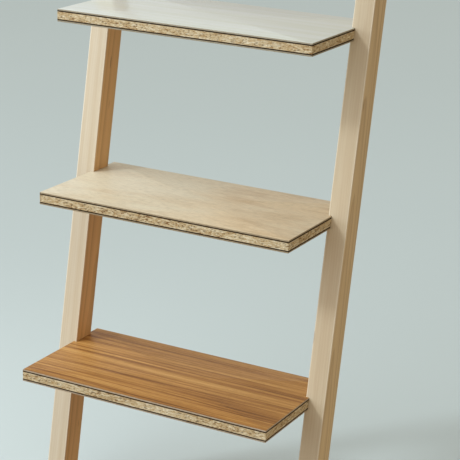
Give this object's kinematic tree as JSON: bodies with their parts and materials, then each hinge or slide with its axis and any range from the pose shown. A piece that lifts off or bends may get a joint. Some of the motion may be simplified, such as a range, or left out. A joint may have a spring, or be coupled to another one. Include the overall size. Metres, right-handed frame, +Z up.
{
  "type": "ladder shelf",
  "caption": "Leaning ladder shelf: slanted timber rails with level laminated boards housed in grooves, raw edges showing their layers, resting against a wall.",
  "frame": {"origin": "on the floor, under the middle of the whole footprint", "axes": "+Z up, -Y to the front where a person stands, +Y to the wall, +X to the right as seen from the front"},
  "size_m": [0.4502, 0.4358, 1.796],
  "materials": {
    "rail_timber": "planed pale softwood, clear matt oil, straight grain",
    "teak_sheet": "teak-like decorative face sheet, satin, strong streaks along the shelf",
    "maple_sheet": "pale maple-like decorative face sheet, satin, fine grain along the shelf",
    "white_sheet": "warm white decorative face sheet with a soft gloss and faint streaks",
    "dark_backing": "dark resin-soaked backing layer, seen as a line along the raw edges",
    "particleboard": "raw sawn particleboard edge",
    "dowel_beech": "plain beech",
    "pad_rubber": "matt black non-slip sheet"
  },
  "bodies": {
    "root": {"left_rail": "rail_timber", "left_dowels": "dowel_beech", "left_foot_pad": "pad_rubber", "left_wall_pad": "pad_rubber", "right_rail": "rail_timber", "right_dowels": "dowel_beech", "right_foot_pad": "pad_rubber", "right_wall_pad": "pad_rubber", "shelf_1_top_face": "teak_sheet", "shelf_1_upper_dark_layer": "dark_backing", "shelf_1_core": "particleboard", "shelf_1_lower_dark_layer": "dark_backing", "shelf_1_bottom_face": "teak_sheet", "shelf_2_top_face": "maple_sheet", "shelf_2_upper_dark_layer": "dark_backing", "shelf_2_core": "particleboard", "shelf_2_lower_dark_layer": "dark_backing", "shelf_2_bottom_face": "maple_sheet", "shelf_3_top_face": "white_sheet", "shelf_3_upper_dark_layer": "dark_backing", "shelf_3_core": "particleboard", "shelf_3_lower_dark_layer": "dark_backing", "shelf_3_bottom_face": "white_sheet", "shelf_4_top_face": "teak_sheet", "shelf_4_upper_dark_layer": "dark_backing", "shelf_4_core": "particleboard", "shelf_4_lower_dark_layer": "dark_backing", "shelf_4_bottom_face": "teak_sheet", "shelf_5_top_face": "maple_sheet", "shelf_5_upper_dark_layer": "dark_backing", "shelf_5_core": "particleboard", "shelf_5_lower_dark_layer": "dark_backing", "shelf_5_bottom_face": "maple_sheet", "shelf_6_top_face": "white_sheet", "shelf_6_upper_dark_layer": "dark_backing", "shelf_6_core": "particleboard", "shelf_6_lower_dark_layer": "dark_backing", "shelf_6_bottom_face": "white_sheet"}
  },
  "joints": []
}
